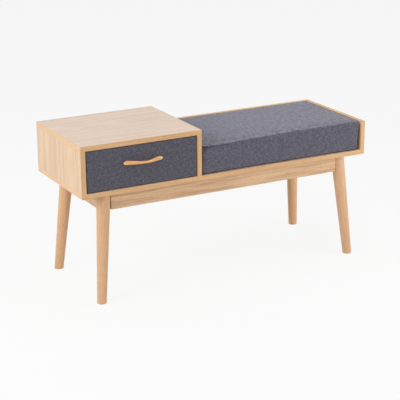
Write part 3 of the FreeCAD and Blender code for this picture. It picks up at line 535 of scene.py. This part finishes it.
# The drawer front: a bare fibreboard, wrapped in heathered grey cloth. The cloth is stretched over
# the face, turned round the edges and stapled behind.
core_colours = ((196, 164, 124), (176, 142, 102), (148, 114, 78))
thread_pitch = 0.00085
thread_sway = 0.0012            # how far the threads wander off a straight line
thread_drift = 0.09             # how fast a thread's tone changes, crossing by crossing
thread_step = 7.31              # far enough in the noise for each thread to have its own tone
weft_layer = 9.0                # where in the noise the weft's tones are taken
slub_scale = 240
slub_stretch = 0.35
slubs_in_tone = 0.75            # the threads' own tones make up the rest
nap_scale = 100
nap_stretch = (1.2, 0.5, 1)
nap_contrast = 0.8
nap_level_with_painted_sheen = 0.39                # the nap below which the tone darkens; set low, so that the top is lifted paler: painted sheen
dark_to_mid = (0.36, 0.50)
mid_to_light = (0.50, 0.64)
thread_gap_shade_share = 0.45                # how much painted shade falls between the threads
# How far the painted shade in the seams and the dimple covers the cloth.
seam_shade_share = 0.95
slub_relief = 3.0               # how high the slubs stand, in heights of a thread
cloth_depth = 0.0003
cloth_tones = ((64, 63, 74), (98, 96, 108), (140, 138, 152))
# The colour of the painted shade in the seams and the dimple.
seam_shade_colour = (22, 21, 26)
# The drawer front's cloth: the seat's cloth in darker tones, as painted shade on the drawer front.
wrap_tones_painted_shade = ((60, 59, 67), (90, 88, 99), (127, 125, 137))

# Woven cloth: a plain weave on coordinates in metres. Warp and weft take turns on top in a
# chequer, each thread is round across its width, and each has its own tone that drifts along it.
# The tone and the height are those of the thread on top.
cloth, taken, given = new_group(
    "woven_cloth",
    [("Vector", "Vector"), ("Pitch", "Float")],
    [("Tone", "Float"), ("Height", "Float")])
drift = add(cloth, "TexNoise", {"Vector": taken.outputs["Vector"], "Scale": 60, "Detail": 2})
swayed = add(cloth, "VectorMath", {0: drift.outputs["Color"], 1: (thread_sway, thread_sway, 0.0),
                                   2: taken.outputs["Vector"]}, operation="MULTIPLY_ADD")
parts = add(cloth, "SeparateXYZ", {0: swayed.outputs[0]}).outputs
warp_place = calc(cloth, "DIVIDE", parts["X"], taken.outputs["Pitch"])
weft_place = calc(cloth, "DIVIDE", parts["Y"], taken.outputs["Pitch"])
warp_count = calc(cloth, "FLOOR", warp_place)
weft_count = calc(cloth, "FLOOR", weft_place)
warp_round = calc(cloth, "SINE", calc(cloth, "MULTIPLY", calc(cloth, "FRACT", warp_place), math.pi))
weft_round = calc(cloth, "SINE", calc(cloth, "MULTIPLY", calc(cloth, "FRACT", weft_place), math.pi))
count = calc(cloth, "ADD", warp_count, weft_count)
on_top = calc(cloth, "ABSOLUTE", calc(cloth, "SUBTRACT", count, calc(
    cloth, "MULTIPLY", calc(cloth, "FLOOR", calc(cloth, "MULTIPLY", count, 0.5)), 2.0)))
warp_height = calc(cloth, "MULTIPLY", warp_round, calc(cloth, "MULTIPLY_ADD", weft_round, 0.5, 0.5))
weft_height = calc(cloth, "MULTIPLY", weft_round, calc(cloth, "MULTIPLY_ADD", warp_round, 0.5, 0.5))
warp_yarn = add(cloth, "CombineXYZ", {0: calc(cloth, "MULTIPLY", warp_count, thread_step),
                                      1: calc(cloth, "MULTIPLY", weft_place, thread_drift)})
weft_yarn = add(cloth, "CombineXYZ", {0: calc(cloth, "MULTIPLY", warp_place, thread_drift),
                                      1: calc(cloth, "MULTIPLY", weft_count, thread_step),
                                      2: weft_layer})
warp_tone = add(cloth, "TexNoise", {"Vector": warp_yarn.outputs[0], "Scale": 1.0, "Detail": 1})
weft_tone = add(cloth, "TexNoise", {"Vector": weft_yarn.outputs[0], "Scale": 1.0, "Detail": 1})
tone = add(cloth, "Mix", {0: on_top, 2: weft_tone.outputs["Fac"], 3: warp_tone.outputs["Fac"]})
relief = add(cloth, "Mix", {0: on_top, 2: weft_height, 3: warp_height})
cloth.links.new(tone.outputs[0], given.inputs["Tone"])
cloth.links.new(relief.outputs[0], given.inputs["Height"])


def heathered(name, tones):
    """The grey upholstery cloth: slubs both ways over a weave, a soft sheen, painted shade in its
    seams.

    The three tones are dark, middle and light. Where the piece is marked on its top, its nap lies
    brushed this way and that, and its tone is lifted paler: painted sheen on the top.
    """
    dark, mid, light = (paint(*tone) for tone in tones)
    material, tree, output = bare_material(name)
    flat_place = add(tree, "UVMap", uv_map="cloth").outputs["UV"]
    weave = use_group(tree, cloth, {"Vector": flat_place, "Pitch": thread_pitch})
    noises = []
    for stretch, scale, detail, roughness in (((1, slub_stretch, 1), slub_scale, 3, 0.65),
                                              ((slub_stretch, 1, 1), slub_scale, 3, 0.65),
                                              (nap_stretch, nap_scale, 4, 0.7)):
        drawn = add(tree, "VectorMath", {0: flat_place, 1: stretch}, operation="MULTIPLY")
        noises.append(add(tree, "TexNoise", {"Vector": drawn.outputs[0], "Scale": scale,
                                             "Detail": detail,
                                             "Roughness": roughness}).outputs["Fac"])
    slubs = calc(tree, "MULTIPLY_ADD", noises[0], 0.5, calc(tree, "MULTIPLY", noises[1], 0.5))
    tone = calc(tree, "MULTIPLY_ADD", slubs, slubs_in_tone,
                calc(tree, "MULTIPLY", weave["Tone"], 1 - slubs_in_tone))
    # Painted sheen: on the top, the nap lifts the tone paler on average, standing in for the sheen
    # on it.
    top_nap_and_painted_sheen = add(tree, "Attribute", attribute_name="top_nap_and_painted_sheen").outputs["Fac"]
    nap_and_sheen_lift = calc(tree, "MULTIPLY", calc(tree, "SUBTRACT", noises[2], nap_level_with_painted_sheen), top_nap_and_painted_sheen)
    tone = calc(tree, "MULTIPLY_ADD", nap_and_sheen_lift, nap_contrast, tone)
    colour = blend_colour(tree, smooth_range(tree, tone, *dark_to_mid), dark, mid)
    colour = blend_colour(tree, smooth_range(tree, tone, *mid_to_light), colour, light)
    # Painted shade between the threads, where the weave sinks.
    thread_gap_shade = calc(tree, "SUBTRACT", 1.0, smooth_range(tree, weave["Height"], 0.0, 0.6))
    colour = blend_colour(tree, calc(tree, "MULTIPLY", thread_gap_shade, thread_gap_shade_share), colour, dark)
    # Painted shade: where the seams and the dimple sink, the cloth is drawn dark.
    painted_seam_shade = calc(tree, "MULTIPLY", add(tree, "Attribute", attribute_name="seam").outputs["Fac"],
                seam_shade_share)
    colour = blend_colour(tree, painted_seam_shade, colour, paint(*seam_shade_colour))
    roughness = calc(tree, "MULTIPLY_ADD", slubs, 0.1, 0.82)
    relief = calc(tree, "MULTIPLY_ADD", slubs, slub_relief, weave["Height"])
    finish_material(tree, output, colour, roughness, relief, cloth_depth,
                    sheen_weight=0.6, sheen_roughness=0.4, sheen_tint=(0.86, 0.86, 1.0, 1.0))
    return material


seat_cloth = heathered("seat_cloth", cloth_tones)
# The same cloth with darker tones: painted shade on the drawer front.
wrap_cloth_painted_shade = heathered("wrap_cloth_painted_shade", wrap_tones_painted_shade)


def box_lattice(low, high, radii, margins, pitch):
    """The skin of a box with rounded edges, as a grid of squares on its six sides.

    The grid lines stand at the margins, which are distances in from every edge and start with 0,
    and between the last margins about one pitch apart. Every grid point is clamped to an inner box
    that stands one radius inside, and then set one radius out from there. Returns the points, the
    squares, each square's side (0 to 5, from low X to high Z) and each point's place from -1 to 1
    on the three axes.
    """
    low, high, radii = (np.array(values, float) for values in (low, high, radii))
    steps = []
    for length in high - low:
        near = np.array(margins) / length
        count = max(1, round((length - 2 * margins[-1]) / pitch))
        between = np.linspace(near[-1], 1 - near[-1], count + 1)
        steps.append(2 * np.concatenate([near[:-1], between, 1 - near[-2::-1]]) - 1)
    share = np.stack(np.meshgrid(*steps, indexing="ij"), -1)
    index = np.indices(share.shape[:3])
    last = np.array(share.shape[:3]).reshape(3, 1, 1, 1) - 1
    skin = ((index == 0) | (index == last)).any(0)
    number = np.full(skin.shape, -1)
    number[skin] = np.arange(skin.sum())
    share = share[skin]
    points = (low + high) / 2 + share * (high - low) / 2
    inner = np.clip(points, low + radii, high - radii)
    out = (points - inner) / radii
    length = np.linalg.norm(out, axis=1, keepdims=True)
    points = inner + radii * out / np.maximum(length, 1e-9)
    squares, sides = [], []
    for axis in range(3):
        for end, flip in ((0, True), (-1, False)):
            face = np.take(number, end, axis)
            square = np.stack([face[:-1, :-1], face[1:, :-1], face[1:, 1:], face[:-1, 1:]], -1)
            square = square.reshape(-1, 4)
            if flip != (axis == 1):
                square = square[:, ::-1]
            squares.append(square)
            sides.append(np.full(len(square), 2 * axis + (end == -1)))
    return points, np.concatenate(squares), np.concatenate(sides), share


def lay_out_cloth(piece, sides):
    """The cloth's own coordinates in metres: each side of a boxed piece lies on its two axes."""
    mesh = piece.data
    corner = np.zeros(len(mesh.loops), int)
    mesh.loops.foreach_get("vertex_index", corner)
    points = np.zeros(len(mesh.vertices) * 3)
    mesh.vertices.foreach_get("co", points)
    points = points.reshape(-1, 3)[corner]
    side = np.repeat(sides, 4) // 2
    across = np.where(side == 0, points[:, 1], points[:, 0])
    along = np.where(side == 2, points[:, 1], points[:, 2])
    layer = mesh.uv_layers.new(name="cloth")
    layer.data.foreach_set("uv", np.stack([across + side, along], -1).ravel())


# The cloth of the front is the skin of the front's box. Of its back, only the part near the edges
# is kept, and its face dips a little in soft waves where it is pulled.
low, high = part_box("drawer_front_fabric")
wrap_round = (0.003, 0.003, 0.003)
wrap_pitch = 0.004
wrap_return = 0.022             # how far the cloth is turned in behind the board
wrap_thickness = 0.0012
wrap_back = 3                   # the side that faces into the drawer
pull_depth = 0.00025            # how far the face dips where the stretched cloth is pulled
pull_waves = (160, 47, 23)      # along the board, up it, and aslant, in radians per metre
points, squares, sides, share = box_lattice(low, high, wrap_round, (0, 0.0015, wrap_pitch),
                                            wrap_pitch)
middles = points[squares].mean(1)
from_edge = np.minimum(np.minimum(middles[:, 0] - low.x, high.x - middles[:, 0]),
                       np.minimum(middles[:, 2] - low.z, high.z - middles[:, 2]))
kept = (sides != wrap_back) | (from_edge < wrap_return)
used = np.unique(squares[kept])
renumbered = np.full(len(points), -1)
renumbered[used] = np.arange(len(used))
points, squares, sides = points[used], renumbered[squares[kept]], sides[kept]
pull = np.sin(points[:, 0] * pull_waves[0])
pull *= np.sin(points[:, 2] * pull_waves[1] + points[:, 0] * pull_waves[2])
points[:, 1] += np.where(points[:, 1] < low.y + wrap_pitch, pull_depth * (1 + pull), 0)
drawer_cloth = mesh_piece("drawer_front_cloth", points, squares, wrap_cloth_painted_shade)
lay_out_cloth(drawer_cloth, sides)
thick = drawer_cloth.modifiers.new("thickness", "SOLIDIFY")
thick.thickness = wrap_thickness
thick.offset = -1
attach(drawer_cloth, "drawer")
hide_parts("drawer_front_fabric")
dress("drawer_front_board", fibreboard("drawer_front_core", core_colours, speckle=300, gloss=0.6))

# The staples behind the drawer front: crowns of flat zinc wire, shot through the turned-in cloth
# all round, clear of the drawer box. Only their backs show, with the drawer open.
staple_half = np.array((0.005, 0.00025, 0.0006))
staple_round = 0.0002
staple_aslant = 0.12            # the most that one is turned by a careless hand, in radians
bottom_row, top_row, end_rows = 0.0036, 0.009, 0.0045       # in from the edges of the front
row_start, column_start, column_end = 0.020, 0.034, 0.020
row_count, column_count = 11, 4
bar, staple_squares, _, _ = box_lattice(-staple_half, staple_half, (staple_round,) * 3,
                                        (0, staple_round), 0.002)
row_x = np.linspace(low.x + row_start, high.x - row_start, row_count)
column_z = np.linspace(low.z + column_start, high.z - column_end, column_count)
centres = np.concatenate([
    np.stack(np.broadcast_arrays(row_x, high.y, low.z + bottom_row), -1),
    np.stack(np.broadcast_arrays(row_x, high.y, high.z - top_row), -1),
    np.stack(np.broadcast_arrays(low.x + end_rows, high.y, column_z), -1),
    np.stack(np.broadcast_arrays(high.x - end_rows, high.y, column_z), -1),
])
number = np.arange(len(centres))
turn = staple_aslant * np.sin(number * 2.3) + np.where(number < 2 * row_count, 0, math.pi / 2)
cosine, sine = np.cos(turn)[:, None], np.sin(turn)[:, None]
turned_x = bar[:, 0] * cosine + bar[:, 2] * sine
turned_z = bar[:, 2] * cosine - bar[:, 0] * sine
turned_y = np.broadcast_to(bar[:, 1], turned_x.shape)
points = np.stack([turned_x, turned_y, turned_z], -1) + centres[:, None]
squares = staple_squares + (number * len(bar))[:, None, None]
staples = mesh_piece("drawer_front_staples", points, squares.reshape(-1, 4), zinc_small)
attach(staples, "drawer")

# The drawer handle: one piece of hardwood, bent and rounded by hand, with a glossy orange-tan
# lacquer, held by two machine screws from inside. The grain runs its length, and the lobes at its
# ends are drawn paler: a painted highlight.
handle_colours = ((246, 176, 100), (222, 142, 72), (170, 94, 42))
handle_tip_highlight = (255, 214, 170)
handle_log = Vector((0, 0.006, 0.02))               # its middle, from the log's axis
handle_tone_range = (0.35, 1.1)
tip_highlight_range = (0.046, 0.066)                          # from its middle, where the painted highlight on the tips starts
tip_highlight_share = 0.6
low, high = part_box("drawer_handle")
material, tree, output = bare_material("handle_lacquer")
place = add(tree, "TexCoord").outputs["Object"]
centred = add(tree, "Mapping", {"Vector": place, "Location": handle_log - (low + high) / 2})
centred = centred.outputs[0]
grain = use_group(tree, figure, {"Vector": centred, "Ring Width": 0.003, "Wander": 0.012,
                                 "Streak Scale": 80})
tone = calc(tree, "MULTIPLY_ADD", grain["Rings"], rings_in_tone, grain["Fibres"])
pale, deep, dark = (paint(*colour) for colour in handle_colours)
colour = blend_colour(tree, smooth_range(tree, tone, *handle_tone_range), pale, deep)
colour = blend_colour(tree, calc(tree, "MULTIPLY", grain["Pores"], 0.4), colour, dark)
from_middle = calc(tree, "ABSOLUTE", add(tree, "SeparateXYZ", {0: centred}).outputs["X"])
# A painted highlight: the lobes at the tips are drawn paler.
tip_highlight_mask = smooth_range(tree, from_middle, *tip_highlight_range)
colour = blend_colour(tree, calc(tree, "MULTIPLY", tip_highlight_mask, tip_highlight_share), colour, paint(*handle_tip_highlight))
roughness = calc(tree, "MULTIPLY_ADD", grain["Fibres"], 0.12, 0.22)
finish_material(tree, output, colour, roughness, grain["Height"], 0.00005, coat_weight=0.6,
                coat_roughness=0.12)
dress("drawer_handle", material)

# The seat cushion: a foam block in a sewn cover of the same grey cloth, with a boxed band between
# a top seam and a bottom seam, and a black spunbond underside. It lies loose on the base board,
# and its front left corner has been pressed down.
cushion_low, cushion_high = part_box("cushion_cover")
cushion_low.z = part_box("cushion_underside")[0].z
cushion_radii = (0.009, 0.010, 0.009)
cushion_margins = (0, 0.0026, 0.0056, 0.0092, 0.0135, 0.019)
cushion_pitch = 0.0062
crown = 0.0032
back_rise = 0.0025              # how much higher the back stands than the front
draw_in = 0.0025
narrowing = 0.006               # how much the right end leans in towards its foot
swell_limit = 0.0022            # how far the cloth may billow out
start_inset = 0.0015            # how much smaller the cover starts at its ends and its back
start_gap = 0.0005              # and at its front and its top
simulated_frames = 20
drop_depth = 0.0088             # of the pressed corner
drop_length = 0.22
drop_width = 0.08
dimple_depth = 0.010
dimple_place = np.array((0.009, 0.001, 0.085))      # from the cushion's low corner
dimple_size = np.array((0.006, 0.014, 0.008))
dimple_way = np.array((0.2, 1.0, 0.0))              # where it is pressed to
seam_depth = 0.0028
seam_width = 0.0058
seam_reach = 0.004              # how near an edge the cloth moves square to that side
puff_place = 0.0085             # from the seam, where the cloth rides up, and how widely
puff_width = 0.004
puff_share = 0.35
uneven_waves = (41, 17, 37)     # along the seams and across, in radians per metre
seam_shade_right = 0.35         # how dark the painted shade in the seams still is at the right end
seam_shade_length = 0.25
underneath = 4                  # the side that lies on the seat
spunbond_black = (44, 44, 47)
spunbond_shade = (30, 30, 33)

# The cover before the simulation: a rounded box, higher in the middle of its top and towards its
# back, drawn in along its long sides, and leaning in at the foot of its right end.
start_low = cushion_low + Vector((start_inset, start_gap, 0))
start_high = cushion_high - Vector((start_inset, start_inset, crown + start_gap))
points, squares, sides, share = box_lattice(start_low, start_high, cushion_radii,
                                            cushion_margins, cushion_pitch)
raised = (share[:, 2] + 1) / 2
from_left, from_front = points[:, 0] - cushion_low.x, points[:, 1] - cushion_low.y
arch = (1 - share[:, 0] ** 4) * (1 - share[:, 1] ** 2)
points[:, 2] += raised * (crown * arch + back_rise * (share[:, 1] + 1) / 2 * (1 - arch))
points[:, 1] -= draw_in * share[:, 1] * (1 - share[:, 0] ** 2)
points[:, 0] -= narrowing * np.clip(share[:, 0], 0, 1) ** 3 * (1 - raised)


def billowed(points, squares, at_seam):
    """The cover's cloth after its steps of air pressure from inside, held fast at its seams."""
    trial = mesh_piece("cushion_trial", points, squares, seat_cloth)
    held = trial.vertex_groups.new(name="held")
    held.add(np.flatnonzero(at_seam).tolist(), 1.0, "REPLACE")
    modifier = trial.modifiers.new("cloth", "CLOTH")
    settings = modifier.settings
    settings.quality = 6
    settings.mass = 0.3
    settings.tension_stiffness = settings.compression_stiffness = 25
    settings.shear_stiffness = 8
    settings.bending_stiffness = 12
    settings.use_pressure = True
    settings.uniform_pressure_force = 4
    settings.shrink_min = -0.004
    settings.vertex_group_mass = "held"
    settings.pin_stiffness = 1.5
    settings.effector_weights.gravity = 0
    modifier.collision_settings.use_collision = False
    modifier.point_cache.frame_start = 1
    modifier.point_cache.frame_end = simulated_frames
    scene = bpy.context.scene
    for step in range(1, simulated_frames + 1):
        scene.frame_set(step)
    done = trial.evaluated_get(bpy.context.evaluated_depsgraph_get()).to_mesh()
    moved = np.zeros(len(points) * 3)
    done.vertices.foreach_get("co", moved)
    scene.frame_set(1)
    bpy.data.objects.remove(trial)
    return moved.reshape(-1, 3)


# How far each point lies from the limits of the three axes, from the ring seams round the top and
# the bottom, from the seams down the back corners, and from the nearest of all these seams.
from_limit = (1 - np.abs(share)) * np.array(start_high - start_low) / 2
from_ring = np.maximum(from_limit[:, 2], np.minimum(from_limit[:, 0], from_limit[:, 1]))
from_post = np.where(share[:, 1] > 0, np.maximum(from_limit[:, 0], from_limit[:, 1]), 1.0)
from_seam = np.minimum(from_ring, from_post)
shift = billowed(points, squares, from_ring < 1e-6) - points
length = np.linalg.norm(shift, axis=1, keepdims=True)
points = points + shift * np.minimum(1, swell_limit / np.maximum(length, 1e-9))
points[:, 2] = np.maximum(points[:, 2], cushion_low.z)

# The seams: the cloth sinks in along the top and bottom edges and down the back corners, here
# more and there less, and rides up on either side of the thread.
inward = np.where(from_limit < seam_reach, -np.sign(share), 0.0)
inward /= np.maximum(np.linalg.norm(inward, axis=1, keepdims=True), 1)
seam = np.exp(-(from_seam / seam_width) ** 2) * np.where(raised > 0.5, 1.0, 0.5)
puff = np.exp(-((from_seam - puff_place) / puff_width) ** 2)
wave = points[:, 0] * uneven_waves[0] + np.sin(points[:, 0] * uneven_waves[1]) * 2
uneven = 0.75 + 0.25 * np.sin(wave) * np.cos(points[:, 1] * uneven_waves[2])
points += inward * (seam * seam_depth * uneven - puff * seam_depth * puff_share)[:, None]
along_drop = np.exp(-(np.abs(from_left) / drop_length) ** 1.5)
across_drop = np.exp(-(from_front / drop_width) ** 2)
points[:, 2] -= raised ** 2 * drop_depth * along_drop * across_drop
off_dimple = (points - np.array(cushion_low) - dimple_place) / dimple_size
dimple = np.exp(-(off_dimple ** 2).sum(1))
points += dimple[:, None] * dimple_depth * dimple_way

spunbond = coated("underside_spunbond", spunbond_black, spunbond_shade, scale=900, gloss=0.7,
                  depth=0.0002)
cushion = mesh_piece("seat_cushion", points, squares, seat_cloth)
lay_out_cloth(cushion, sides)
painted_seam_shade = cushion.data.attributes.new("seam", "FLOAT", "POINT")
# Painted shade in the seams and the dimple, darkest at the left end and fading to the right.
painted_shade_fading = np.exp(-np.maximum(from_left, 0) / seam_shade_length)
seam_shade = seam * (seam_shade_right + (1 - seam_shade_right) * painted_shade_fading)
painted_seam_shade.data.foreach_set("value", np.maximum(seam_shade, dimple))
# The top side: its nap, and the painted sheen that lifts its tone.
top_nap_and_painted_sheen = cushion.data.attributes.new("top_nap_and_painted_sheen", "FLOAT", "POINT")
top_nap_and_painted_sheen.data.foreach_set("value", (share[:, 2] > 0.999).astype(float))
cushion.data.materials.append(spunbond)
cushion.data.polygons.foreach_set("material_index", (sides == underneath).astype(int))
rounder = cushion.modifiers.new("rounding", "SUBSURF")
rounder.levels = rounder.render_levels = 1
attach(cushion, "cushion")
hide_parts("cushion_cover", "cushion_underside", "cushion_foam")
